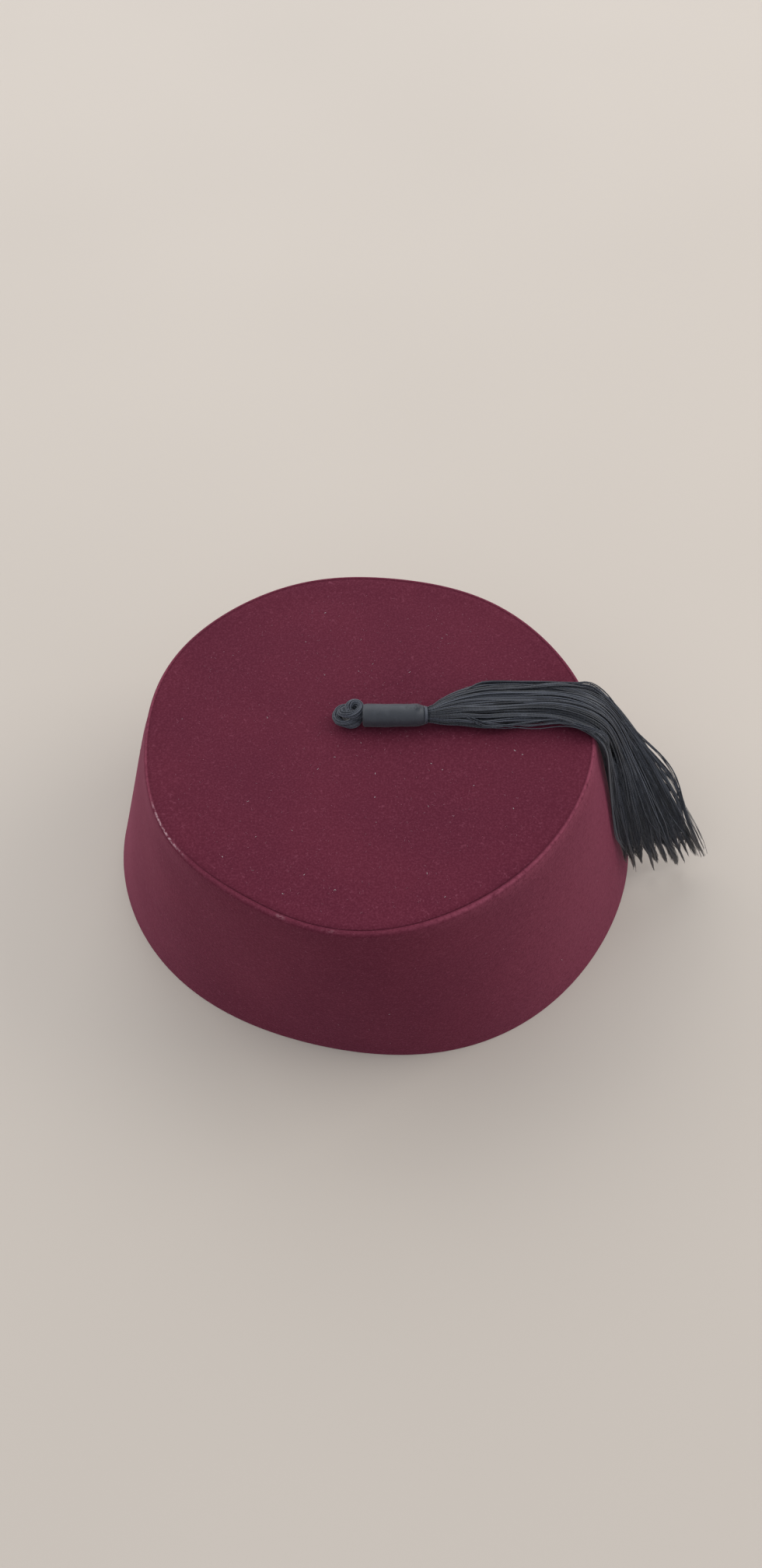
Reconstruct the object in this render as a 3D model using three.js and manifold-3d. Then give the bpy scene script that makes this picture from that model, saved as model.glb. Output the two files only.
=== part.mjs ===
// A low fez: one oval, tapered felt cap that stands on its rim, and a silk tassel. The tassel's knot and wrapped
// sleeve lie on the crown, and its skirt of strands runs over the right rim and hangs down outside the wall.
// Millimetres, +Z up. The front looks along +Y, so +X is the wearer's side on which the tassel falls.
import * as THREE from "three";
import { mergeVertices } from "three/addons/utils/BufferGeometryUtils.js";
import Module from "manifold-3d";

const wasm = await Module();
wasm.setup();

// Felt cap: two outlines, each an ellipse with slow waves, and a straight tapered wall between them.
const cap = { height: 72, felt: 2.5, rimRounding: 1.2, crownDip: 0.5, lipWidth: 2.1, around: 80 };
const baseOutline = {
  length: 190,
  width: 165,
  turnDeg: -6.9,
  offsetX: 0,
  offsetY: 0,
  waves: [
    { perTurn: 3, cosine: -0.0088, sine: 0.0008 },
    { perTurn: 4, cosine: -0.0002, sine: 0.0056 },
    { perTurn: 5, cosine: 0.0019, sine: 0.0056 },
  ],
};
const crownOutline = {
  length: 146.8,
  width: 139.4,
  turnDeg: -6.9,
  offsetX: -1.3,
  offsetY: -0.4,
  waves: [
    { perTurn: 3, cosine: 0.0026, sine: 0.0144 },
    { perTurn: 4, cosine: 0.0006, sine: 0.003 },
    { perTurn: 5, cosine: 0.0046, sine: -0.0017 },
    { perTurn: 6, cosine: -0.0012, sine: -0.0017 },
    { perTurn: 7, cosine: 0.0023, sine: 0.0038 },
  ],
};

// Tassel: what lies on the crown is placed from the cap's centre, and gap is the clearance between touching pieces.
const gap = 0.3;
const knot = {
  x: -7.2,
  y: 6.0,
  core: { halfLength: 3.4, halfWidth: 3.0, halfHeight: 2.8 },
  coils: [
    { name: "upright coil", east: 1.75, north: 0.9, up: 5.1, ring: 1.85, cord: 1.3, leanDeg: 35, turnDeg: -20 },
    { name: "flat loop", east: -0.8, north: -0.8, up: 3.0, ring: 2.75, cord: 1.35, leanDeg: 8, turnDeg: 10 },
    { name: "low turn", east: 0.2, north: -0.3, up: 1.7, ring: 2.4, cord: 1.5, leanDeg: -6, turnDeg: 60 },
  ],
};
const sleeve = { start: -2.0, end: 18.2, radius: 3.8, edge: 0.8, y: 5.1, turnDeg: -2.6 };
const binding = { radius: 2.95, cord: 0.4, turns: 2 };

// Skirt sections on the crown: distance out along +X, the front and back edges, half the depth of the strands, and
// how far their underside is lifted off the crown.
const lyingSections = [
  { out: 18.6, front: 2.2, back: 6.1, halfDepth: 1.9, lift: 1.9 },
  { out: 20.4, front: 2.1, back: 6.1, halfDepth: 1.9, lift: 1.9 },
  { out: 21.6, front: 1.2, back: 7.9, halfDepth: 2.5, lift: 1.1 },
  { out: 24.5, front: 0.7, back: 10.7, halfDepth: 2.8, lift: 0.6 },
  { out: 30.0, front: -0.6, back: 14.6, halfDepth: 2.8, lift: 0.1 },
  { out: 38.0, front: -2.4, back: 17.2, halfDepth: 2.6, lift: 0 },
  { out: 50.5, front: -0.6, back: 16.8, halfDepth: 2.3, lift: 0 },
  { out: 61.5, front: -0.8, back: 15.8, halfDepth: 2.2, lift: 0.2 },
  { out: 68.8, front: -4.6, back: 14.0, halfDepth: 2.1, lift: 1.25 },
];
// Skirt sections of the fall: height, the two edges as angles about the cap and distances off its wall.
const hangingSections = [
  { height: 73.8, frontDeg: -5.2, frontOff: 3.1, backDeg: 10.6, backOff: 3.1, halfDepth: 2.1 },
  { height: 67.0, frontDeg: -6.2, frontOff: 2.8, backDeg: 9.0, backOff: 7.1, halfDepth: 2.1 },
  { height: 54.0, frontDeg: -7.6, frontOff: 2.7, backDeg: 5.1, backOff: 13.2, halfDepth: 2.6 },
  { height: 41.0, frontDeg: -10.4, frontOff: 2.8, backDeg: 1.0, backOff: 18.5, halfDepth: 3.0 },
  { height: 27.0, frontDeg: -12.0, frontOff: 2.9, backDeg: -2.4, backOff: 23.2, halfDepth: 3.2 },
  { height: 14.0, frontDeg: -11.4, frontOff: 2.6, backDeg: -5.6, backOff: 27.3, halfDepth: 3.4 },
];
// Each layer of locks: its place through the depth, its count, and the heights at which its locks end.
const lockLayers = [
  { depth: -0.45, count: 6, reach: [1.0, 0.97, 1.0, 0.95, 0.99, 0.96] },
  { depth: 0.5, count: 5, reach: [0.95, 1.0, 0.96, 1.0, 0.94] },
];
const lock = { sides: 8, rings: 17, tipShare: 0.35, fullness: 0.66 };
const backing = { sides: 12, rings: 17, reach: 0.9, share: 0.72 };
const tipHeight = 4.0;

const felt = new THREE.MeshStandardMaterial({ color: 0x5e2433, roughness: 0.95, metalness: 0 });
const silk = new THREE.MeshStandardMaterial({ color: 0x23262b, roughness: 0.55, metalness: 0 });

const lerp = THREE.MathUtils.lerp;
const radians = THREE.MathUtils.degToRad;

// Radius of an outline at an angle about the cap: the ellipse's radius times one plus its waves.
function outlineRadius(outline, angle) {
  const turned = angle - radians(outline.turnDeg);
  const a = outline.length / 2;
  const b = outline.width / 2;
  const ellipse = (a * b) / Math.hypot(b * Math.cos(turned), a * Math.sin(turned));
  const wave = outline.waves.reduce(
    (sum, w) => sum + w.cosine * Math.cos(w.perTurn * turned) + w.sine * Math.sin(w.perTurn * turned),
    1,
  );
  return ellipse * wave;
}

// Point of the cap at a height and an angle, moved in from the outside of the wall by inset, then scaled to its centre.
function capPoint(height, angle, inset = 0, share = 1) {
  const rise = height / cap.height;
  const radius = lerp(outlineRadius(baseOutline, angle), outlineRadius(crownOutline, angle), rise) - inset;
  return new THREE.Vector3(
    lerp(baseOutline.offsetX, crownOutline.offsetX, rise) + share * radius * Math.cos(angle),
    lerp(baseOutline.offsetY, crownOutline.offsetY, rise) + share * radius * Math.sin(angle),
    height,
  );
}

// Closed body over a row of rings: quads join neighbouring rings, and a fan closes each end.
function skin(rings) {
  const count = rings[0].length;
  const points = rings.flat();
  const index = [];
  for (let r = 0; r + 1 < rings.length; r++) {
    for (let i = 0; i < count; i++) {
      const a = r * count + i;
      const b = r * count + ((i + 1) % count);
      index.push(a, a + count, b, b, a + count, b + count);
    }
  }
  const centre = (ring) => ring.reduce((sum, p) => sum.add(p), new THREE.Vector3()).divideScalar(count);
  const first = points.length;
  points.push(centre(rings[0]), centre(rings.at(-1)));
  const end = (rings.length - 1) * count;
  for (let i = 0; i < count; i++) {
    const next = (i + 1) % count;
    index.push(first, i, next, first + 1, end + next, end + i);
  }
  return new THREE.BufferGeometry().setFromPoints(points).setIndex(index);
}

// Solid of a closed geometry, by its positions alone.
function solid(geometry) {
  const plain = new THREE.BufferGeometry().setAttribute("position", geometry.getAttribute("position"));
  if (geometry.index) plain.setIndex(geometry.index);
  const merged = mergeVertices(plain, 1e-4);
  const mesh = new wasm.Mesh({
    numProp: 3,
    vertProperties: new Float32Array(merged.attributes.position.array),
    triVerts: new Uint32Array(merged.index.array),
  });
  return new wasm.Manifold(mesh);
}

// One body from several that overlap.
function fuse(geometries) {
  const mesh = wasm.Manifold.union(geometries.map(solid)).getMesh();
  return new THREE.BufferGeometry()
    .setAttribute("position", new THREE.BufferAttribute(new Float32Array(mesh.vertProperties), 3))
    .setIndex(new THREE.BufferAttribute(new Uint32Array(mesh.triVerts), 1));
}

// Felt cap, hollow: its rings run from the crown's middle out over the rim, down the wall, and back up inside.
function feltCap() {
  const { height, felt: thick, rimRounding, crownDip, lipWidth } = cap;
  const angles = Array.from({ length: cap.around }, (_, i) => (i / cap.around) * 2 * Math.PI);
  const ring = (z, inset, share = 1) => angles.map((angle) => capPoint(z, angle, inset, share));
  // A ring of the crown keeps the top outline at whatever height it lies.
  const crownRing = (z, inset, share = 1) =>
    angles.map((angle) => capPoint(height, angle, inset, share).setZ(z));
  const arc = (steps) => Array.from({ length: steps + 1 }, (_, i) => (i / steps) * (Math.PI / 2));
  const flat = height - crownDip;
  const rings = [crownRing(flat, lipWidth, 0.5), crownRing(flat, lipWidth), crownRing(height, rimRounding)];
  for (const turn of arc(4).slice(1)) {
    rings.push(ring(height - rimRounding * (1 - Math.cos(turn)), rimRounding * (1 - Math.sin(turn))));
  }
  for (const share of [0.66, 0.33, 0]) rings.push(ring((height - rimRounding) * share, 0));
  const underside = flat - thick;
  for (const share of [0, 0.33, 0.66]) rings.push(ring((underside - thick) * share, thick));
  for (const turn of arc(3)) {
    rings.push(ring(underside - thick * (1 - Math.sin(turn)), thick + thick * (1 - Math.cos(turn))));
  }
  rings.push(crownRing(underside, lipWidth + thick, 0.5));
  return skin(rings);
}

// Knot: a core and three short turns of cord fused round it.
function tasselKnot() {
  const floor = cap.height - cap.crownDip + gap;
  const core = new THREE.SphereGeometry(1, 16, 10);
  core.scale(knot.core.halfLength, knot.core.halfWidth, knot.core.halfHeight);
  core.translate(0, 0, knot.core.halfHeight);
  const turns = knot.coils.map((coil) => {
    const torus = new THREE.TorusGeometry(coil.ring, coil.cord, 8, 16);
    torus.rotateX(radians(coil.leanDeg));
    torus.rotateZ(radians(coil.turnDeg));
    return torus.translate(coil.east, coil.north, coil.up);
  });
  return fuse([core, ...turns]).translate(knot.x, knot.y, floor);
}

// A body of revolution laid along +X from a profile of steps along it and radii, with a cap at each end.
function turned(profile, sides) {
  const rings = profile.map(({ at, radius }) =>
    Array.from({ length: sides }, (_, i) => {
      const angle = (i / sides) * 2 * Math.PI;
      return new THREE.Vector3(at, radius * Math.sin(angle), radius * Math.cos(angle));
    }),
  );
  return skin(rings);
}

// Height of the sleeve's axis, which lies on the crown.
const axisHeight = cap.height - cap.crownDip + gap + sleeve.radius;

// Sleeve: a wrapped cylinder with eased ends.
function tasselSleeve() {
  const { start, end, radius, edge } = sleeve;
  const length = end - start;
  const profile = [
    { at: 0, radius: radius - edge },
    { at: edge * 0.3, radius: radius - edge * 0.3 },
    { at: edge, radius },
    { at: length - edge, radius },
    { at: length - edge * 0.3, radius: radius - edge * 0.3 },
    { at: length, radius: radius - edge },
  ];
  return turned(profile, 24)
    .rotateZ(radians(sleeve.turnDeg))
    .translate(start, sleeve.y, axisHeight);
}

// Point of the sleeve's axis at a distance past its start.
function sleeveAxis(past) {
  const turn = radians(sleeve.turnDeg);
  return new THREE.Vector3(sleeve.start + past * Math.cos(turn), sleeve.y + past * Math.sin(turn), axisHeight);
}

// Binding: turns of thread side by side round the neck of the skirt, fused to one ring.
function tasselBinding() {
  const first = sleeve.end - sleeve.start + gap + binding.cord;
  const turns = Array.from({ length: binding.turns }, (_, i) => {
    const place = sleeveAxis(first + i * binding.cord * 1.6);
    return new THREE.TorusGeometry(binding.radius, binding.cord, 6, 24)
      .rotateY(Math.PI / 2)
      .rotateZ(radians(sleeve.turnDeg))
      .translate(place.x, place.y, place.z);
  });
  return fuse(turns);
}

// Edges of the skirt as smooth curves through its sections, the front one and the back one, and its half depth.
function skirtEdges() {
  const crown = cap.height - cap.crownDip + gap;
  const sections = lyingSections.map((s) => {
    const up = crown + s.lift + s.halfDepth;
    return {
      front: new THREE.Vector3(s.out, s.front, up),
      back: new THREE.Vector3(s.out, s.back, up),
      halfDepth: s.halfDepth,
    };
  });
  for (const s of hangingSections) {
    sections.push({
      front: capPoint(s.height, radians(s.frontDeg), -s.frontOff),
      back: capPoint(s.height, radians(s.backDeg), -s.backOff),
      halfDepth: s.halfDepth,
    });
  }
  const last = sections.at(-1);
  sections.push({
    front: last.front.clone().add(new THREE.Vector3(2.4, 1.2, tipHeight - last.front.z)),
    back: last.back.clone().add(new THREE.Vector3(5.5, -0.6, tipHeight - last.back.z)),
    halfDepth: last.halfDepth,
  });
  const depths = sections.map((s) => s.halfDepth);
  return {
    front: new THREE.CatmullRomCurve3(sections.map((s) => s.front)),
    back: new THREE.CatmullRomCurve3(sections.map((s) => s.back)),
    halfDepth(t) {
      const place = t * (depths.length - 1);
      const low = Math.min(Math.floor(place), depths.length - 2);
      return lerp(depths[low], depths[low + 1], place - low);
    },
  };
}
const edges = skirtEdges();

// Frame of the skirt at t from the neck to the tips: middle, half width across, and the outward half depth.
function skirtFrame(t) {
  const front = edges.front.getPoint(t);
  const back = edges.back.getPoint(t);
  const middle = front.clone().add(back).multiplyScalar(0.5);
  const across = back.clone().sub(front).multiplyScalar(0.5);
  const step = 0.01;
  const ahead = Math.min(t + step, 1);
  const behind = Math.max(t - step, 0);
  const along = edges.front.getPoint(ahead).add(edges.back.getPoint(ahead));
  along.sub(edges.front.getPoint(behind)).sub(edges.back.getPoint(behind)).normalize();
  const outward = along.clone().cross(across).normalize().multiplyScalar(edges.halfDepth(t));
  return { middle, across, outward, along };
}

// A strip of the skirt: an ellipse carried from the neck to reach, centred at a place across and through the skirt.
function skirtStrip({ across, depth, wide, deep, reach, sides, rings, tip }) {
  const sections = [];
  for (let r = 0; r < rings; r++) {
    const t = (r / (rings - 1)) * reach;
    const frame = skirtFrame(t);
    const narrowing = r > rings - 4 ? lerp(tip, 1, (rings - 1 - r) / 3) : 1;
    const centre = frame.middle
      .clone()
      .addScaledVector(frame.across, across)
      .addScaledVector(frame.outward, depth);
    sections.push(
      Array.from({ length: sides }, (_, i) => {
        const angle = (i / sides) * 2 * Math.PI;
        return centre
          .clone()
          .addScaledVector(frame.across, wide * narrowing * Math.sin(angle))
          .addScaledVector(frame.outward, deep * narrowing * Math.cos(angle));
      }),
    );
  }
  return skin(sections);
}

// Skirt: two layers of locks that overlap their neighbours, fused to a flat backing.
function tasselSkirt() {
  const strips = [
    skirtStrip({
      across: 0,
      depth: 0,
      wide: backing.share,
      deep: backing.share,
      reach: backing.reach,
      sides: backing.sides,
      rings: backing.rings,
      tip: backing.share,
    }),
  ];
  for (const layer of lockLayers) {
    const wide = lock.fullness / layer.count + 0.06;
    layer.reach.forEach((reach, i) => {
      const across = lerp(-1 + wide, 1 - wide, i / (layer.count - 1));
      const deep = 0.5;
      const { sides, rings, tipShare: tip } = lock;
      strips.push(skirtStrip({ across, depth: layer.depth, wide, deep, reach, sides, rings, tip }));
    });
  }
  return fuse(strips);
}

// The pieces, set in one group whose origin is the bottom centre of the box round them all.
const pieces = [
  { name: "felt_cap", geometry: feltCap(), material: felt },
  { name: "tassel_knot", geometry: tasselKnot(), material: silk },
  { name: "tassel_sleeve", geometry: tasselSleeve(), material: silk },
  { name: "tassel_binding", geometry: tasselBinding(), material: silk },
  { name: "tassel_skirt", geometry: tasselSkirt(), material: silk },
];
const fez = new THREE.Group();
for (const { name, geometry, material } of pieces) {
  const mesh = new THREE.Mesh(geometry, material);
  mesh.name = name;
  fez.add(mesh);
}
const middle = new THREE.Box3().setFromObject(fez).getCenter(new THREE.Vector3());
fez.position.set(-middle.x, -middle.y, 0);

export default fez;
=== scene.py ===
import bpy
import numpy as np
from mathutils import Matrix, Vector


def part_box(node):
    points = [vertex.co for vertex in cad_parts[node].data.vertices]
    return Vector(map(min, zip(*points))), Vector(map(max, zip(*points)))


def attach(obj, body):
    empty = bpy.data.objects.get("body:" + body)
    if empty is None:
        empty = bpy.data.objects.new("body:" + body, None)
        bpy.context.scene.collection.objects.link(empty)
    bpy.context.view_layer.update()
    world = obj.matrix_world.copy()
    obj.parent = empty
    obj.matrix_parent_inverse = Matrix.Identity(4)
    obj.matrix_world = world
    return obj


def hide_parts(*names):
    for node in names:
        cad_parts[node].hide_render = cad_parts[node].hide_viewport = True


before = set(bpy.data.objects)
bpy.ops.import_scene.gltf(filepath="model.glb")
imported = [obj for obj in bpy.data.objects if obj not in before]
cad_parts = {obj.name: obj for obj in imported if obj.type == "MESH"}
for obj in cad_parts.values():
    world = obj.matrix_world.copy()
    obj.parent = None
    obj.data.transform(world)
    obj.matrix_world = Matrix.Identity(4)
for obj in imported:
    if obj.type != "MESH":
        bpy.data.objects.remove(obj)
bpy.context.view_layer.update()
mm = 0.001  # shapes are worked out in millimetres and made in metres
tau = 2 * np.pi
zAxis = np.array([0.0, 0.0, 1.0])


# Value that rises smoothly from 0 to 1 between low and high: 3x^2 - 2x^3 of the share x of the way.
def smooth(value, low, high):
    x = np.clip((value - low) / (high - low), 0, 1)
    return x * x * (3 - 2 * x)


# Rises from 0 to 1 over the first pair of limits and falls back to 0 over the second.
def stretch(value, rise, fall):
    return smooth(value, *rise) * (1 - smooth(value, *fall))


# Evenly strewn places in a disc of radius 1: distance by the square root of the rank, the golden angle apart.
def sunflower(count):
    rank = np.arange(count) + 0.5
    distance, turn = np.sqrt(rank / count), rank * tau * 0.381966
    return distance * np.cos(turn), distance * np.sin(turn)


# Smooth curve through points, each one a step of t: on each stretch the cubic that leaves its two ends
# along the lines joining their neighbours.
def curveThrough(points, t):
    points = np.asarray(points, float)
    last = len(points) - 1
    padded = np.concatenate([2 * points[:1] - points[1:2], points, 2 * points[-1:] - points[-2:-1]])
    place = np.clip(t, 0, 1) * last
    low = np.minimum(place.astype(int), last - 1)
    f = (place - low).reshape(place.shape + (1,) * (points.ndim - 1))
    p0, p1, p2, p3 = (padded[low + k] for k in range(4))
    bend = 2 * p0 - 5 * p1 + 4 * p2 - p3
    return 0.5 * (2 * p1 + (p2 - p0) * f + bend * f**2 + (3 * p1 - p0 - 3 * p2 + p3) * f**3)


# Slow wander along t with a random phase for each row: three sines, each weaker as it gets quicker.
def wander(rng, t, turns=(1.1, 2.3, 4.7)):
    phase = rng.uniform(0, tau, (len(t), 1, len(turns)))
    return (np.sin(tau * t[..., None] * np.array(turns) + phase) / np.array(turns)).sum(-1)


# Mesh object from points in millimetres and lists of faces, one array of corner numbers for each size of
# face. shades are numbers per point, and cornerMap is a pair of numbers per face corner, in the order of
# the faces.
def makePiece(name, points, faces, shades=None, cornerMap=None):
    mesh = bpy.data.meshes.new(name)
    corners = np.concatenate([f.ravel() for f in faces]).astype(np.int32)
    sizes = np.concatenate([np.full(len(f), f.shape[1]) for f in faces])
    mesh.vertices.add(len(points))
    mesh.vertices.foreach_set("co", (points * mm).astype(np.float32).ravel())
    mesh.loops.add(len(corners))
    mesh.loops.foreach_set("vertex_index", corners)
    mesh.polygons.add(len(sizes))
    mesh.polygons.foreach_set("loop_start", (np.cumsum(sizes) - sizes).astype(np.int32))
    mesh.polygons.foreach_set("use_smooth", np.ones(len(sizes), bool))
    mesh.update(calc_edges=True)
    for key, values in (shades or {}).items():
        made = mesh.attributes.new(key, "FLOAT", "POINT")
        made.data.foreach_set("value", np.asarray(values, np.float32).ravel())
    if cornerMap is not None:
        laid = mesh.uv_layers.new(name="lay")
        laid.data.foreach_set("uv", cornerMap.astype(np.float32).ravel())
    piece = bpy.data.objects.new(name, mesh)
    bpy.context.collection.objects.link(piece)
    return piece


# Threads as closed tubes: paths is (threads, steps, 3) and radii (threads, steps). At each step a ring of
# corners stands square to the path, at centre + radius * (side * cos + lift * sin), with upright giving the
# side's direction.
def threadPiece(name, paths, radii, upright, sides=5, shade=None):
    count, steps, _ = paths.shape
    along = np.gradient(paths, axis=1)
    along /= np.linalg.norm(along, axis=-1, keepdims=True) + 1e-9
    side = np.cross(along, np.broadcast_to(upright, paths.shape))
    side /= np.linalg.norm(side, axis=-1, keepdims=True) + 1e-9
    lift = np.cross(along, side)
    angle = np.arange(sides) / sides * tau
    ring = side[:, :, None] * np.cos(angle)[:, None] + lift[:, :, None] * np.sin(angle)[:, None]
    points = (paths[:, :, None] + radii[:, :, None, None] * ring).reshape(-1, 3)
    thread, step, place = np.meshgrid(np.arange(count), np.arange(steps - 1), np.arange(sides), indexing="ij")
    first = (thread * steps + step) * sides
    a, b = first + place, first + (place + 1) % sides
    quads = np.stack([a, b, b + sides, a + sides], -1).reshape(-1, 4)
    starts = (np.arange(count) * steps * sides)[:, None] + np.arange(sides)[::-1]
    ends = (np.arange(count) * steps * sides + (steps - 1) * sides)[:, None] + np.arange(sides)
    length = np.zeros((count, steps))
    length[:, 1:] = np.cumsum(np.linalg.norm(np.diff(paths, axis=1), axis=-1), axis=1)
    u0, u1 = length[thread, step], length[thread, step + 1]
    v0, v1 = place / sides, (place + 1) / sides
    quadMap = np.stack([u0, v0, u0, v1, u1, v1, u1, v0], -1).reshape(-1, 2)
    endPlace = np.tile(np.arange(sides) / sides, count)
    startMap = np.stack([np.zeros(count * sides), endPlace[::-1]], -1)
    endMap = np.stack([np.repeat(length[:, -1], sides), endPlace], -1)
    shades = {
        "threadShade": np.repeat(shade if shade is not None else np.full(count, 0.5), steps * sides),
        "threadPlace": np.repeat(length / length[:, -1:], sides),
    }
    laid = np.concatenate([quadMap, startMap, endMap])
    return makePiece(name, points, [quads, starts, ends], shades, laid)


# Piece rides on the hat's body, stands for CAD nodes, and takes the finish it is given; slot is not used.
def dress(piece, material, slot, *nodes):
    piece.data.materials.append(material)
    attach(piece, "root")
    if nodes:
        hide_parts(*nodes)
    return piece


# Camera at the photograph's angle.
cameraPlace = {
    "belowHorizonDeg": 58.0,
    "rollDeg": -2.56,
    "fromCap": (2.9, -218.3, 390.6),  # place of the lens from the middle of the cap's foot
    "focalPixels": 1523.0,
    "frameHeight": 2016,
    "sensor": 36.0,
}

# Felt cap: two outlines, each an ellipse with slow waves of so many turns, and a straight wall between.
capForm = {
    "height": 72.0,
    "felt": 2.5,
    "crownLevel": 71.5,
    "bead": {"thin": 0.75, "atFront": 0.45, "past": 24.0},  # radii, and degrees past its top to the crease
    "crease": {"gap": 0.15, "depth": 0.1, "atFront": 0.2, "halfWay": 0.22, "crownEnds": 0.55},
    "edgeRise": 0.36,  # how much nearer to the bead's top the crown lies at the back and sides
    "footRounding": 0.5,
    "around": 480,
    "foot": {
        "length": 190.0,
        "width": 165.0,
        "turnDeg": -6.9,
        "middle": (0.0, 0.0),
        "waves": ((3, -0.0088, 0.0008), (4, -0.0002, 0.0056), (5, 0.0019, 0.0056)),
    },
    "crown": {
        "length": 146.8,
        "width": 139.4,
        "turnDeg": -6.9,
        "middle": (-1.3, -0.4),
        "waves": (
            (3, 0.0026, 0.0144),
            (4, 0.0006, 0.003),
            (5, 0.0046, -0.0017),
            (6, -0.0012, -0.0017),
            (7, 0.0023, 0.0038),
        ),
    },
}


# Radius of an outline at an angle: the ellipse's own radius times one plus its waves.
def outlineRadius(outline, angle):
    turned = angle - np.radians(outline["turnDeg"])
    a, b = outline["length"] / 2, outline["width"] / 2
    ellipse = a * b / np.hypot(b * np.cos(turned), a * np.sin(turned))
    waves = sum(c * np.cos(n * turned) + s * np.sin(n * turned) for n, c, s in outline["waves"])
    return ellipse * (1 + waves)


# Outside radius of the wall at a height, and the middle it is measured from, both linear in the height.
def wallRadius(angle, height):
    rise = height / capForm["height"]
    return (1 - rise) * outlineRadius(capForm["foot"], angle) + rise * outlineRadius(capForm["crown"], angle)


def wallMiddle(height):
    rise = (np.asarray(height, float) / capForm["height"])[..., None]
    return (1 - rise) * np.array(capForm["foot"]["middle"]) + rise * np.array(capForm["crown"]["middle"])


# The CAD cap's box tells where the middle of the foot lies in the frame.
def capPlace():
    low, high = (np.array(corner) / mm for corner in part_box("felt_cap"))
    angle = np.linspace(0, tau, 1440)
    foot = wallRadius(angle, 0.0) * np.array([np.cos(angle), np.sin(angle)])
    return np.append((low + high)[:2] / 2 - (foot.max(1) + foot.min(1)) / 2, 0.0)


capMiddle = capPlace()
print("cap middle in the frame, mm:", capMiddle.round(2))


# Slow unevenness of the felt, in millimetres: sines of the angle and height, or of the crown's x and y.
def wallUnevenness(angle, height):
    slow = 0.22 * np.sin(4 * angle + height / 31 + 0.7) + 0.16 * np.sin(7 * angle - height / 19 + 2.1)
    return (slow + 0.09 * np.sin(13 * angle + height / 11)) * smooth(height, 0, 22)


def crownUnevenness(x, y):
    slow = 0.10 * np.sin(x / 19 + y / 33 + 0.4) + 0.08 * np.sin(y / 15 - x / 41 + 1.9)
    return slow + 0.04 * np.sin(x / 7.3 + 2 * np.sin(y / 9.1)) - 0.12


# Worn places of the felt, and where light and shade are painted on it: a painted highlight on the bead,
# painted light on the right wall, and the crease's painted shadow. about holds stretches of the angle round
# the cap in degrees, and down holds stretches of the distance past the bead's top in millimetres, each as
# where it rises and where it falls. front is where the bead is full and the crease deep.
wearAndPaintedLight = {
    "about": {
        "front": ((-158, -118), (-70, -24)),
        "rightFront": ((-92, -60), (2, 18)),
        # painted light on the right wall
        "litRightWall": ((-88, -40), (20, 45)),
        "streak": ((-164.5, -157), (-150, -142)),
    },
    "leftSide": {"fadesOut": (-166, -156), "fadesIn": (145, 165)},
    "patches": ({"at": -113.4, "wide": 0.8, "strength": 1.0}, {"at": -100.5, "wide": 1.2, "strength": 0.4}),
    "down": {
        "onBead": ((-0.4, 0.15), (0.55, 1.4)),
        "below": ((0.2, 0.8), (0.8, 6.5)),
        "thin": ((-0.25, 0.1), (0.5, 1.0)),
        # where the crease's painted shadow lies
        "crease": ((-2.2, -1.5), (-1.2, -0.2)),
    },
    "rubbedAndLit": {
        "bead": 0.22,
        "rightFront": 0.5,
        "leftSide": 0.5,
        "below": 0.35,
        # strength of the painted light on the right wall, and how far down it starts
        "litRightWall": 0.3,
        "wallStarts": (0.5, 2.0),
    },
    "barePatch": 0.5,
    # strength of the crease's painted shadow at the back
    "creaseShadowAtBack": 0.25,
}


insideMark = 99.0  # stands in the place of the distance for rows inside the cap


# Rows of the cap's profile from the crown's middle, over the bead, down the wall and back up inside. Each
# gives the height, how far in from the outline, the share of the way out, the outline's own level, and the
# distance past the bead's top. The first four may differ round the cap with the bead's radius.
def capProfile(front):
    form = capForm
    top, foot, felt, level = form["height"], form["footRounding"], form["felt"], form["crownLevel"]
    bead = form["bead"]["thin"] + form["bead"]["atFront"] * front
    past = np.radians(form["bead"]["past"])
    dent = form["crease"]
    crease = bead * (1 + np.sin(past)) + dent["gap"]
    deep = dent["depth"] + dent["atFront"] * front
    edge = level + form["edgeRise"] * (1 - front)
    underside = level - felt
    rows = []
    for s in np.linspace(0.01, 1, 36):
        rows.append((level + (edge - level) * smooth(s, 0.86, 1.0), crease + dent["crownEnds"], s, top, -3.0))
    rows.append((edge - 0.6 * deep, crease + dent["halfWay"], 1, top, -1.6))
    rows.append((edge - deep, crease, 1, top, -1.3))
    for turn in np.linspace(-past, np.pi / 2, 12):
        height = top - bead * (1 - np.cos(turn))
        rows.append((height, bead * (1 - np.sin(turn)), 1, np.minimum(height, top), np.max(bead) * turn))
    start = top - bead
    for s in np.linspace(0, 1, 46)[1:]:
        height = start + (foot - start) * s
        rows.append((height, 0, 1, height, 2.0 + 70 * s))
    for turn in np.radians((30, 60, 90)):
        rows.append((foot * (1 - np.sin(turn)), foot * (1 - np.cos(turn)), 1, 0, 80.0))
    for turn in np.radians((90, 60, 30)):
        rows.append((foot * (1 - np.sin(turn)), felt - foot * (1 - np.cos(turn)), 1, 0, insideMark))
    rows += [(h, felt, 1, h, insideMark) for h in np.linspace(foot, underside - felt, 24)]
    for turn in np.radians(np.linspace(0, 90, 6)[1:]):
        height = underside - felt * (1 - np.sin(turn))
        rows.append((height, felt * (2 - np.cos(turn)), 1, height, insideMark))
    rows += [(underside, 2 * felt + 0.5, s, top, insideMark) for s in np.linspace(1, 0.01, 9)]
    return [np.stack([row[k] + 0 * front for row in rows]) for k in range(5)]
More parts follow.
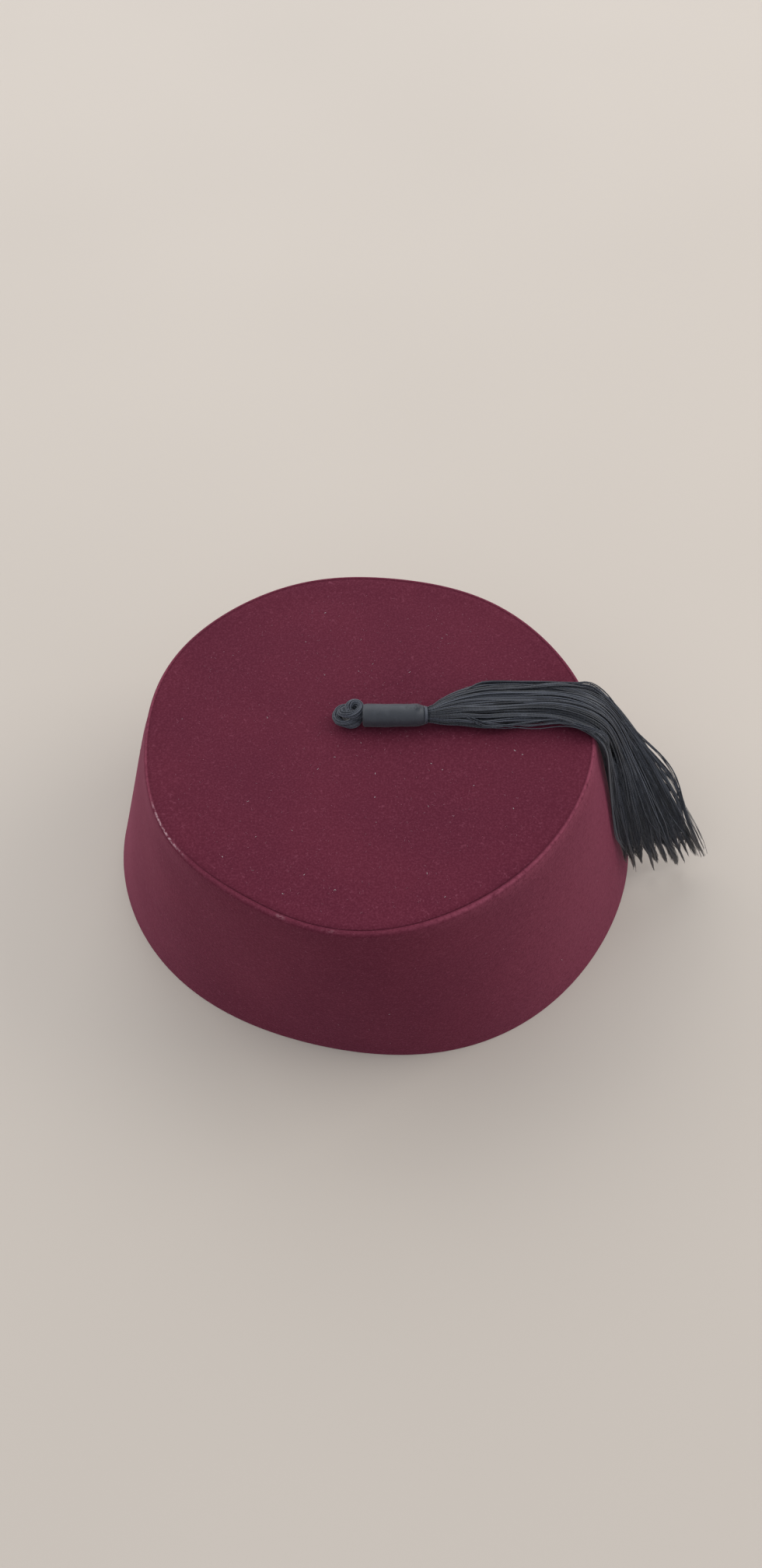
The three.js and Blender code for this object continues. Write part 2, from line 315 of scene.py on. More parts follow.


# Felt cap as a closed grid of rings, each point at middle + share * (radius - inset) * (cos, sin), with the
# slow unevenness added. The masks of wear, of the painted highlight and painted light, and of the crease's
# painted shadow go with it as numbers per point.
def makeFeltCap():
    angle = np.arange(capForm["around"]) / capForm["around"] * tau
    degrees = (np.degrees(angle) + 180) % 360 - 180
    about = {key: stretch(degrees, *limits) for key, limits in wearAndPaintedLight["about"].items()}
    front = about["front"]
    height, inset, share, level, distance = capProfile(front)
    outside = distance < insideMark
    radius = wallRadius(angle, level) - inset
    onWall = outside & (distance > 2.0)
    fade = smooth(capForm["height"] - height, 1, 9)
    radius = radius + np.where(onWall, wallUnevenness(angle + 0 * height, height) * fade, 0)
    middle = wallMiddle(level)
    x = middle[..., 0] + share * radius * np.cos(angle)
    y = middle[..., 1] + share * radius * np.sin(angle)
    onCrown = outside & (distance < -2)
    z = height + np.where(onCrown, crownUnevenness(x, y) * smooth(1 - share, 0, 0.06), 0)
    points = np.stack([x, y, z], -1).reshape(-1, 3)
    # Pale rubbed nap along the bead with a painted highlight on its ridge, painted light on the right wall;
    # a bare whitish streak at the left and small bare patches at the front; and the crease's painted shadow.
    down = {key: stretch(distance, *limits) for key, limits in wearAndPaintedLight["down"].items()}
    left, rubAndLight, atBack = wearAndPaintedLight["leftSide"], wearAndPaintedLight["rubbedAndLit"], wearAndPaintedLight["creaseShadowAtBack"]
    leftSide = np.clip((1 - smooth(degrees, *left["fadesOut"])) + smooth(degrees, *left["fadesIn"]), 0, 1)
    patch = sum(p["strength"] * np.exp(-(((degrees - p["at"]) / p["wide"]) ** 2)) for p in wearAndPaintedLight["patches"])
    # Along the bead: rubbed nap, with a painted highlight on the bead's ridge.
    along = rubAndLight["bead"] + rubAndLight["rightFront"] * about["rightFront"] + rubAndLight["leftSide"] * leftSide
    rubbedAndLit = down["onBead"] * along + rubAndLight["below"] * down["below"] * about["rightFront"]
    # Painted light: the right wall made paler, as if lit by the window on the right.
    rubbedAndLit = rubbedAndLit + rubAndLight["litRightWall"] * about["litRightWall"] * smooth(distance, *rubAndLight["wallStarts"])
    shades = {
        "rubbedAndLit": rubbedAndLit,
        "bare": down["thin"] * (about["streak"] + wearAndPaintedLight["barePatch"] * patch),
        "crease": down["crease"] * (atBack + (1 - atBack) * front),
    }
    rings, around = x.shape
    ring, place = np.meshgrid(np.arange(rings - 1), np.arange(around), indexing="ij")
    a, b = ring * around + place, ring * around + (place + 1) % around
    quads = np.stack([a, a + around, b + around, b], -1).reshape(-1, 4)
    poles = np.array([points[:around].mean(0), points[-around:].mean(0)])
    place = np.arange(around)
    following = (place + 1) % around
    last = (rings - 1) * around
    first = np.stack([np.full(around, rings * around), place, following], -1)
    end = np.stack([np.full(around, rings * around + 1), last + following, last + place], -1)
    shades = {key: np.append(values * outside, [0, 0]) for key, values in shades.items()}
    points = np.concatenate([points, poles]) + capMiddle
    return makePiece("feltCap", points, [quads, np.concatenate([first, end])], shades)


# Points on the outside of the felt, strewn evenly, with the felt's own direction at each: the crown's are
# drawn in proportion to the square root of the share out, the wall's to the radius at their height.
def feltPlaces(rng, onCrown, onWall):
    angle = rng.uniform(0, tau, onCrown)
    share = np.sqrt(rng.uniform(0, 0.97, onCrown))
    top = capForm["height"]
    radius = wallRadius(angle, top) - 2.0
    x = wallMiddle(top)[0] + share * radius * np.cos(angle)
    y = wallMiddle(top)[1] + share * radius * np.sin(angle)
    crown = np.stack([x, y, capForm["crownLevel"] + crownUnevenness(x, y)], -1)
    crownUp = np.tile(zAxis, (onCrown, 1))
    angle = rng.uniform(0, tau, onWall)
    height = rng.uniform(3, top - 4, onWall)
    radius = wallRadius(angle, height) + wallUnevenness(angle, height)
    middle = wallMiddle(height)
    east, north = np.cos(angle), np.sin(angle)
    wall = np.stack([middle[:, 0] + radius * east, middle[:, 1] + radius * north, height], -1)
    lean = np.radians(17.0)
    wallOut = np.stack([np.cos(lean) * east, np.cos(lean) * north, np.full(onWall, np.sin(lean))], -1)
    return np.concatenate([crown, wall]), np.concatenate([crownUp, wallOut])


# Lint: short curled hairs caught in the nap, and pills of the nap itself. Each path is the place + run
# along the felt + a bow and curl across it, as sines of the share along; the hairs rise in the middle and
# the pills lie half sunk.
lint = {
    "onCrown": 2300,
    "onWall": 500,
    "hair": {"length": (0.25, 0.8), "radius": (0.04, 0.07)},
    "pill": {"length": (0.12, 0.42), "radius": (0.1, 0.17)},  # soft knots of nap, half sunk in the felt
    "pills": 0.72,  # the pills' share of all
    "seed": 11,
}


def makeLint():
    rng = np.random.default_rng(lint["seed"])
    place, out = feltPlaces(rng, lint["onCrown"], lint["onWall"])
    count, steps = len(place), 5
    run = np.cross(out, rng.normal(size=(count, 3)))
    run /= np.linalg.norm(run, axis=1, keepdims=True)
    cross = np.cross(out, run)
    shade = rng.uniform(0, 1, count)
    isPill = shade < lint["pills"]
    drawn = []
    for key in ("length", "radius"):
        pill, hair = (rng.uniform(*lint[kind][key], count) for kind in ("pill", "hair"))
        drawn.append(np.where(isPill, pill, hair)[:, None])
    long, radius = drawn
    t = np.linspace(0, 1, steps)[None, :]
    bow = rng.normal(0, 0.3, (count, 1)) * long * np.sin(np.pi * t)
    curl = rng.normal(0, 0.16, (count, 1)) * long * np.sin(tau * t)
    lift = np.where(isPill[:, None], -0.45 * radius, 0.02 + 0.1 * long * np.sin(np.pi * t))
    paths = place[:, None] + run[:, None] * ((t - 0.5) * long)[..., None]
    paths = paths + cross[:, None] * (bow + curl)[..., None] + out[:, None] * lift[..., None] + capMiddle
    radii = radius * (0.45 + 0.55 * np.sin(np.pi * t))
    return threadPiece("feltLint", paths, radii, out[:, None], sides=3, shade=shade)


# Skirt of the tassel, in millimetres from the middle of the cap's foot. Lying sections: out along +X, the
# front and back edges, half the depth and the lift off the crown. Hanging sections: height, then for each
# edge its angle about the cap in degrees with its distance off the wall, and half the depth. The tips are
# steps on from the last section.
skirtForm = {
    "gap": 0.3,
    "lying": (
        {"out": 18.5, "front": 1.9, "back": 6.5, "halfDepth": 2.3, "lift": 1.5},
        {"out": 19.6, "front": 1.8, "back": 6.6, "halfDepth": 2.35, "lift": 1.45},
        {"out": 22.0, "front": 1.2, "back": 8.8, "halfDepth": 2.7, "lift": 0.9},
        {"out": 24.5, "front": 0.7, "back": 10.9, "halfDepth": 2.8, "lift": 0.6},
        {"out": 30.0, "front": 0.3, "back": 14.2, "halfDepth": 2.8, "lift": 0.1},
        {"out": 38.0, "front": -1.0, "back": 16.7, "halfDepth": 2.6, "lift": 0.0},
        {"out": 50.5, "front": -0.4, "back": 16.5, "halfDepth": 2.3, "lift": 0.0},
        {"out": 61.5, "front": -0.8, "back": 15.8, "halfDepth": 2.2, "lift": 0.2},
        {"out": 68.8, "front": -4.6, "back": 14.0, "halfDepth": 2.1, "lift": 1.0},
    ),
    "hanging": (
        {"height": 73.6, "front": (-5.2, 2.6), "back": (10.6, 2.6), "halfDepth": 2.1},
        {"height": 67.0, "front": (-6.2, 2.3), "back": (8.6, 6.6), "halfDepth": 2.2},
        {"height": 54.0, "front": (-7.9, 1.8), "back": (4.2, 11.8), "halfDepth": 2.6},
        {"height": 41.0, "front": (-10.7, 1.4), "back": (-0.3, 16.7), "halfDepth": 3.0},
        {"height": 27.0, "front": (-12.3, 1.4), "back": (-3.6, 21.6), "halfDepth": 3.2},
        {"height": 14.0, "front": (-12.6, 1.4), "back": (-6.4, 26.2), "halfDepth": 3.4},
    ),
    "tipHeight": 2.6,
    "frontTip": (2.6, 0.3),
    "backTip": (5.4, -1.2),
}


# Point off the wall at a height, an angle in degrees and a distance out.
def offWall(height, degrees, off):
    angle = np.radians(degrees)
    middle = wallMiddle(height)
    radius = wallRadius(angle, height) + off
    return np.array([middle[0] + radius * np.cos(angle), middle[1] + radius * np.sin(angle), height])


# Skirt as a table along its middle line, from neck to tips by share of its length: the middle, the vector
# from it to the back edge, and the outward vector, square to both directions and half the depth long.
def skirtTable():
    front, back, depth = [], [], []
    for s in skirtForm["lying"]:
        up = capForm["crownLevel"] + skirtForm["gap"] + s["lift"] + s["halfDepth"]
        front.append((s["out"], s["front"], up))
        back.append((s["out"], s["back"], up))
        depth.append(s["halfDepth"])
    for s in skirtForm["hanging"]:
        front.append(offWall(s["height"], *s["front"]))
        back.append(offWall(s["height"], *s["back"]))
        depth.append(s["halfDepth"])
    for edge, step in ((front, skirtForm["frontTip"]), (back, skirtForm["backTip"])):
        edge.append((edge[-1][0] + step[0], edge[-1][1] + step[1], skirtForm["tipHeight"]))
    depth.append(depth[-1])
    t = np.linspace(0, 1, 600)
    frontCurve, backCurve = curveThrough(front, t), curveThrough(back, t)
    middle, across = (frontCurve + backCurve) / 2, (backCurve - frontCurve) / 2
    along = np.gradient(middle, axis=0)
    outward = np.cross(along, across)
    outward *= (curveThrough(depth, t) / np.linalg.norm(outward, axis=1))[:, None]
    length = np.concatenate([[0], np.cumsum(np.linalg.norm(np.diff(middle, axis=0), axis=1))])
    print("skirt length, mm:", length[-1].round(1))
    return {"share": length / length[-1], "middle": middle, "across": across, "outward": outward}


skirt = skirtTable()


# One column of the skirt's table at any shares of its length.
def skirtAt(column, share):
    values = skirt[column]
    return np.stack([np.interp(share, skirt["share"], values[:, k]) for k in range(3)], -1)


# Paths in the skirt: middle + a * across + b * outward, with a and b from -1 to 1, then kept off the cap.
def skirtPaths(share, a, b, clear):
    points = skirtAt("middle", share) + a[..., None] * skirtAt("across", share)
    return keepOff(points + b[..., None] * skirtAt("outward", share), clear)


# Crown's level for lying threads: it rises towards the bead and drops past it, by distance past the outline.
crownGuard = {"rise": 0.5, "rises": (-10.0, -1.6), "drop": 1.2, "drops": (-0.6, 0.5), "offFloor": 1.2}


# Points nearer to the cap than clear move the shorter way off it: up from the crown or out from the wall.
def keepOff(points, clear):
    guard = crownGuard
    middle = wallMiddle(points[..., 2])
    dx, dy = points[..., 0] - middle[..., 0], points[..., 1] - middle[..., 1]
    distance, angle = np.hypot(dx, dy), np.arctan2(dy, dx)
    beyond = distance - wallRadius(angle, np.minimum(points[..., 2], capForm["height"]))
    level = capForm["crownLevel"] + guard["rise"] * smooth(beyond, *guard["rises"])
    above = points[..., 2] - (level - guard["drop"] * smooth(beyond, *guard["drops"]))
    short = clear - np.maximum(above, beyond)
    upward = (short > 0) & (above >= beyond)
    outward = (short > 0) & ~upward
    moved = points.copy()
    moved[..., 2] += np.where(upward, short, 0)
    push = np.where(outward, short, 0) / np.maximum(distance, 1e-6)
    moved[..., 0] += dx * push
    moved[..., 1] += dy * push
    moved[..., 2] = np.maximum(moved[..., 2], guard["offFloor"])
    return moved


# Threads of the skirt gather into tufts towards their tips. Each tuft has its own middle across, reach and
# drift; the layers one behind the other share them, so that slits between tufts stay open.
tufts = {
    "across": (-0.96, -0.77, -0.52, -0.31, -0.13, 0.04, 0.25, 0.5, 0.66, 0.84, 0.97),
    "wide": (0.06, 0.045, 0.04, 0.02, 0.065, 0.05, 0.07, 0.02, 0.03, 0.055, 0.03),
    "reach": (0.925, 0.96, 0.945, 1.0, 0.965, 0.975, 1.0, 0.995, 0.965, 0.975, 0.95),
    "pulls": (0.76, 0.945),
    "drift": 0.03,
    "flatten": 0.8,
    "seed": 5,
}


def tuftRows():
    rng = np.random.default_rng(tufts["seed"])
    count = len(tufts["across"])
    rows = {key: np.array(tufts[key]) for key in ("across", "wide", "reach")}
    rows["turn"] = rng.uniform(0, tau, count)
    rows["drift"] = rng.normal(0, tufts["drift"], count)
    return rows


tuft = tuftRows()


# Draws a place across towards the tuft it belongs to: to the tuft's middle plus wide times its own lot from
# -1 to 1, by a share that grows towards the tips. The tuft sways a little as a whole.
def gather(share, a, member, lot):
    pull = smooth(share, *tufts["pulls"])
    goal = tuft["across"][member] + tuft["wide"][member] * lot
    sway = tuft["drift"][member][:, None] * np.sin(tau * share * 1.3 + tuft["turn"][member][:, None])
    return a + (goal[:, None] - a) * pull + sway * smooth(share, 0.4, 0.8)


# The tuft each place across belongs to: the nearest, counting a wide tuft as nearer than a thin one.
def tuftOf(rng, a):
    away = np.abs(a[:, None] - tuft["across"] + rng.normal(0, 0.04, (len(a), 1)))
    return np.argmin(away / (tuft["wide"] + 0.05), axis=1)


# Main threads: from the neck to the tips, each in its own place of a disc, wandering and crossing a little.
skirtThreads = {
    "count": 340,
    "steps": 56,
    "radius": 0.235,
    "neckRadius": 0.15,
    "tipRadius": 0.12,
    "crossing": 0.13,
    "wideCrossing": 0.4,
    "wideShare": 0.32,
    "locks": 58,  # strands that the threads lie in on the crown
    "hold": 0.55,  # how far each thread is drawn to its strand there
    "edge": {"from": 0.85, "power": 8},  # how the places across are held inside the skirt's edges
    "rim": {"at": 0.42, "wide": 0.1, "lift": 0.8, "passes": 12},
    "seed": 3,
}


# Eases threads over the rim. Each point is lifted outwards by lift times a bell curve of its share, more in
# the outer layers. By the same curve it is then moved towards the mean of itself, counted twice, and its two
# neighbours along the thread.
def easeOverRim(paths, share, layer, clear):
    rim = skirtThreads["rim"]
    bell = np.exp(-(((share - rim["at"]) / rim["wide"]) ** 2))[..., None]
    lifted = skirtAt("outward", share)
    lifted = lifted / np.linalg.norm(lifted, axis=-1, keepdims=True)
    eased = paths + lifted * bell * rim["lift"] * (0.5 + 0.5 * layer[:, None, None])
    for _ in range(rim["passes"]):
        mean = (eased[:, :-2] + 2 * eased[:, 1:-1] + eased[:, 2:]) / 4
        eased[:, 1:-1] += (mean - eased[:, 1:-1]) * bell[:, 1:-1]
    return keepOff(eased, clear)


# Each thread's a and b start at its place in the disc, are drawn to its strand on the crown, cross a
# little, wander, and are held inside the skirt by a / (1 + (from * |a|)^power)^(1 / power); the tufts then
# gather them.
def makeSkirtThreads():
    form = skirtThreads
    rng = np.random.default_rng(form["seed"])
    count = form["count"]
    a0, b0 = sunflower(count)
    a0 = np.clip(a0 + rng.normal(0, 0.03, count), -1, 1)
    member = tuftOf(rng, a0)
    lot = rng.uniform(-1, 1, count)
    reach = tuft["reach"][member] * rng.uniform(0.95, 1.0, count) * (1 - 0.04 * lot**2)
    share = reach[:, None] * np.linspace(0, 1, form["steps"])
    free = smooth(share, 0.03, 0.22)
    lockA, lockB = sunflower(form["locks"])
    lock = np.argmin((a0[:, None] - lockA) ** 2 + (b0[:, None] - lockB) ** 2, axis=1)
    hold = form["hold"] * smooth(share, 0.03, 0.14) * (1 - smooth(share, 0.4, 0.75))
    every = np.tile(np.linspace(0, 1, form["steps"]), (form["locks"], 1))
    swayA, swayB = (wander(rng, every, turns)[lock] for turns in ((1.1, 2.7, 5.3), (1.5, 3.3, 6.1)))
    isWide = rng.uniform(size=form["locks"]) < form["wideShare"]
    spread = np.where(isWide, form["wideCrossing"], form["crossing"])
    lots = 0.85 * rng.normal(0, 1, form["locks"])[lock] + 0.4 * rng.normal(0, 1, count)
    crossing = (lots * spread[lock])[:, None] * smooth(share, 0.1, 0.65)
    a = a0[:, None] + (lockA[lock] - a0)[:, None] * hold + crossing
    a = a + free * (0.06 * swayA + 0.025 * wander(rng, share, (0.8, 1.9, 4.3)))
    b = (b0[:, None] + (lockB[lock] - b0)[:, None] * hold) * (1 - tufts["flatten"] * smooth(share, 0.7, 1.0))
    b = b + free * (0.16 * swayB + 0.06 * wander(rng, share, (1.3, 3.1, 6.1)))
    power = form["edge"]["power"]
    a = a / (1 + (form["edge"]["from"] * np.abs(a)) ** power) ** (1 / power)
    limit = np.sqrt(np.maximum(1 - np.clip(a, -0.98, 0.98) ** 2, 0))
    b = np.clip(b, -1.05 * limit, 1.15 * limit)
    a = gather(share, a, member, lot)
    clear = skirtForm["gap"] + form["radius"]
    paths = easeOverRim(skirtPaths(share, a, b, clear), share, b0, clear) + capMiddle
    radii = form["neckRadius"] + (form["radius"] - form["neckRadius"]) * smooth(share, 0.0, 0.12)
    radii = radii + (form["tipRadius"] - form["radius"]) * smooth(share, 0.45, 0.95)
    radii = radii * rng.uniform(0.8, 1.2, count)[:, None]
    radii[:, -1] *= 0.4
    shade = rng.uniform(0, 1, count) ** 3.2  # most threads are dark and a few catch the light
    piece = threadPiece("skirtThreads", paths, radii, skirtAt("across", share), 5, shade)
    return dress(piece, silkThread, "black_silk", "tassel_skirt")


# Fine filaments where the threads have come untwisted: each starts inside the skirt and ends in a tuft, a
# little splayed out of it.
filaments = {
    "count": 1500,
    "steps": 19,
    "radius": 0.08,
    "splay": 1.7,
    "from": (0.52, 0.74),
    "seeds": {"skirtFilaments": 41, "tipFilaments": 43},
}


def makeFilaments(name, seed):
    form = filaments
    rng = np.random.default_rng(seed)
    count = form["count"]
    angle, far = rng.uniform(0, tau, count), np.sqrt(rng.uniform(0, 1, count))
    a0, b0 = far * np.cos(angle), far * np.sin(angle)
    member = tuftOf(rng, a0)
    lot = rng.normal(0, 0.45, count) * (1 + (form["splay"] - 1) * rng.uniform(0, 1, count) ** 3)
    reach = tuft["reach"][member] * (rng.uniform(0.93, 1.005, count) - 0.02 * np.minimum(lot**2, 1))
    start = rng.uniform(*form["from"], count)
    run = np.linspace(0, 1, form["steps"])[None, :]
    share = start[:, None] + (reach - start)[:, None] * run
    a = a0[:, None] + 0.035 * wander(rng, share, (1.2, 3.1, 7.0))
    a = np.clip(gather(share, a, member, lot), -1.06, 1.1)
    b = b0[:, None] * (1 - tufts["flatten"] * smooth(share, 0.7, 1.0)) + 0.08 * wander(rng, share)
    paths = skirtPaths(share, a, b, skirtForm["gap"] + form["radius"]) + capMiddle
    radii = form["radius"] * (1 - 0.45 * run) * rng.uniform(0.75, 1.3, count)[:, None]
    piece = threadPiece(name, paths, radii, skirtAt("across", share), 3, rng.uniform(0, 1, count) ** 1.5)
    return dress(piece, silkThread, "black_silk")


# Stray threads that leave the skirt in small bunches: a rises from its edge to a peak and comes part of the
# way back, on the crown in front and behind, and beyond the outer edge of the fall.
strays = {
    "radius": 0.14,
    "tipRadius": 0.08,
    "steps": 60,
    "seed": 29,
    "groups": (
        {
            "count": 8, "bunches": 5, "edge": -0.85, "peak": (-1.4, -1.06),
            "peakAt": 0.21, "end": -0.8, "wide": 0.1,
        },
        {
            "count": 12, "bunches": 6, "edge": 0.9, "peak": (0.98, 1.09),
            "peakAt": 0.22, "end": 0.9, "wide": 0.14,
        },
        {
            "count": 7, "bunches": 3, "edge": 0.92, "peak": (1.03, 1.12),
            "peakAt": 0.44, "end": 0.95, "wide": 0.08,
        },
        {
            "count": 30, "bunches": 3, "edge": 0.97, "peak": (1.24, 1.42),
            "peakAt": 0.7, "end": 1.0, "wide": 0.105,
        },
        {
            "count": 8, "bunches": 3, "edge": 0.97, "peak": (1.12, 1.24),
            "peakAt": 0.84, "end": 1.05, "wide": 0.13,
        },
    ),
}


def makeStrays():
    rng = np.random.default_rng(strays["seed"])
    share, a, b = [], [], []
    for group in strays["groups"]:
        count = group["count"]
        bunch = rng.integers(0, group["bunches"], count)
        s = np.linspace(0, 1, strays["steps"])[None, :] * rng.uniform(0.9, 0.99, count)[:, None]
        peak = rng.uniform(*group["peak"], group["bunches"])[bunch][:, None]
        peak = peak + rng.normal(0, 0.025, (count, 1))
        at = group["peakAt"] + rng.normal(0, 0.02, group["bunches"])[bunch][:, None]
        leave = group["edge"] * smooth(s, 0.0, 0.15)
        rise = (peak - group["edge"]) * np.exp(-(((s - at) / group["wide"]) ** 2))
        settle = (group["end"] - group["edge"]) * smooth(s, at, 1.0)
        share.append(s)
        a.append(leave + rise + settle + 0.03 * smooth(s, 0.3, 0.6) * wander(rng, s))
        b.append(rng.uniform(-0.3, 0.6, group["bunches"])[bunch][:, None] + 0.12 * wander(rng, s))
    share, a, b = (np.concatenate(rows) for rows in (share, a, b))
    paths = skirtPaths(share, a, b * smooth(share, 0, 0.1), skirtForm["gap"] + 0.2) + capMiddle
    radii = strays["radius"] + (strays["tipRadius"] - strays["radius"]) * smooth(share, 0.5, 1.0)
    shade = rng.uniform(0.1, 0.8, len(share))
    piece = threadPiece("skirtStrays", paths, radii, skirtAt("across", share), 4, shade)
    return dress(piece, silkThread, "black_silk")


# Sleeve: a wrapped cylinder whose turns of fine thread show as ripples. Radius = body + ripple + slow lumps,
# rounded at both ends and tapered to the neck.
sleeveForm = {
    "start": -2.0,
    "end": 18.2,
    "radius": 3.8,
    "y": 5.1,
    "turnDeg": -2.6,
    "pitch": 0.3,
    "ripple": 0.03,
    "lump": 0.8,
    "opening": {"deep": 0.75, "long": 0.9},
    "closing": {"deep": 0.5, "long": 0.8},
    "taper": {"deep": 0.9, "long": 3.0},
    # The wrapping's end, pushed up near the neck.
    "ear": {"high": 0.75, "back": 2.3, "long": 0.8, "angle": 1.45, "wide": 0.24},
    "around": 72,
    "rings": 520,
}


# Point and directions of the sleeve's axis at a distance past its start.
def sleeveAxis(past):
    turn = np.radians(sleeveForm["turnDeg"])
    along = np.array([np.cos(turn), np.sin(turn), 0.0])
    height = capForm["crownLevel"] + skirtForm["gap"] + sleeveForm["radius"]
    start = np.array([sleeveForm["start"], sleeveForm["y"], height])
    across = np.array([-np.sin(turn), np.cos(turn), 0.0])
    return start + np.asarray(past)[..., None] * along, along, across


# How much an end's rounding, a quarter of an ellipse, takes off the radius at a distance from that end.
def roundedOff(end, distance):
    left = 1 - np.clip(distance / end["long"], 0, 1)
    return end["deep"] * (1 - np.sqrt(np.clip(1 - left**2, 0, 1)))


def makeSleeve():
    form = sleeveForm
    length = form["end"] - form["start"]
    past = np.linspace(0, length, form["rings"])[:, None]
    angle = (np.arange(form["around"]) / form["around"] * tau)[None, :]
    ripple = form["ripple"] * (np.abs(np.cos(np.pi * past / form["pitch"] + angle / 2)) - 1)
    lumps = 0.07 * np.sin(past / 2.9 + 2 * np.cos(angle + 0.6)) + 0.05 * np.sin(past / 1.3 - angle)
    narrowing = smooth(past, length - form["taper"]["long"], length) * (0.7 + 0.3 * np.sin(angle))
    ends = roundedOff(form["opening"], past) + roundedOff(form["closing"], length - past)
    peak, above = past - length + form["ear"]["back"], angle - form["ear"]["angle"]
    ear = np.exp(-((peak / form["ear"]["long"]) ** 2) - (above / form["ear"]["wide"]) ** 2)
    radius = form["radius"] - 0.06 + ripple + form["lump"] * lumps - ends
    radius = radius - form["taper"]["deep"] * narrowing + form["ear"]["high"] * ear
    centre, _, across = sleeveAxis(past[:, 0])
    around = np.cos(angle)[..., None] * across + np.sin(angle)[..., None] * zAxis
    points = centre[:, None] + radius[..., None] * around
    points[..., 2] = np.maximum(points[..., 2], capForm["crownLevel"] + 0.12)
    rings, sides = radius.shape
    ring, place = np.meshgrid(np.arange(rings - 1), np.arange(sides), indexing="ij")
    a, b = ring * sides + place, ring * sides + (place + 1) % sides
    quads = np.stack([a, b, b + sides, a + sides], -1).reshape(-1, 4)
    ends = np.stack([np.arange(sides)[::-1], (rings - 1) * sides + np.arange(sides)])
    shades = {"threadShade": np.full(rings * sides, 0.5), "threadPlace": np.repeat(past / length, sides)}
    u = np.stack([past[ring, 0], past[ring, 0], past[ring + 1, 0], past[ring + 1, 0]], -1)
    v = np.stack([place, place + 1, place + 1, place], -1) / sides
    endMap = np.zeros((2 * sides, 2))
    laid = np.concatenate([np.stack([u, v], -1).reshape(-1, 2), endMap])
    piece = makePiece("tasselSleeve", points.reshape(-1, 3) + capMiddle, [quads, ends], shades, laid)
    return dress(piece, wrappedSilk, "black_silk", "tassel_sleeve")


# Knot: one bundle of threads led round two overlapping coils. Rows give the turn about the row's own
# middle, the ring's radius, the middle and the height; the bundle's line is middle + ring * (cos, sin) of
# the turn.
knotForm = {
    "x": -7.2,
    "y": 6.45,
    "threads": 26,
    "bundle": 1.18,
    "thread": 0.2,
    "steps": 300,
    "twists": 1.9,
    "seed": 17,
    "looseLoop": {"at": 0.29, "wide": 0.045, "far": 0.9, "share": 0.17},
    "rows": (
        {"turn": 90, "ring": 0.4, "east": 6.2, "north": -1.5, "up": 3.9},
        {"turn": 40, "ring": 1.6, "east": 2.9, "north": -2.3, "up": 3.4},
        {"turn": 0, "ring": 2.8, "east": 0.9, "north": -1.5, "up": 2.2},
        {"turn": -90, "ring": 2.2, "east": 0.2, "north": -0.9, "up": 1.6},
        {"turn": -180, "ring": 2.3, "east": -0.2, "north": -0.5, "up": 1.6},
        {"turn": -270, "ring": 2.2, "east": -0.1, "north": -0.4, "up": 1.9},
        {"turn": -360, "ring": 2.9, "east": 0.7, "north": -0.8, "up": 2.4},
        {"turn": -450, "ring": 2.8, "east": -0.4, "north": -0.5, "up": 2.6},
        {"turn": -540, "ring": 3.0, "east": -0.55, "north": -0.7, "up": 2.9},
        {"turn": -630, "ring": 2.5, "east": -0.3, "north": -0.3, "up": 3.7},
        {"turn": -720, "ring": 2.4, "east": 1.9, "north": 0.3, "up": 4.5},
        {"turn": -810, "ring": 1.9, "east": 2.2, "north": 0.0, "up": 4.3},
        {"turn": -900, "ring": 1.95, "east": 2.4, "north": 0.3, "up": 5.0},
        {"turn": -990, "ring": 2.0, "east": 2.6, "north": 0.5, "up": 5.9},
        {"turn": -1080, "ring": 1.9, "east": 2.7, "north": 0.3, "up": 5.7},
        {"turn": -1170, "ring": 1.4, "east": 1.7, "north": -0.3, "up": 5.1},
        {"turn": -1260, "ring": 1.7, "east": 0.1, "north": -0.6, "up": 4.8},
        {"turn": -1350, "ring": 1.3, "east": 0.3, "north": -1.0, "up": 4.6},
        {"turn": -1440, "ring": 1.3, "east": 0.4, "north": -1.0, "up": 4.0},
        {"turn": -1530, "ring": 1.0, "east": 0.0, "north": -1.2, "up": 2.9},
        {"turn": -1620, "ring": 0.8, "east": -0.2, "north": -1.2, "up": 2.0},
    ),
}


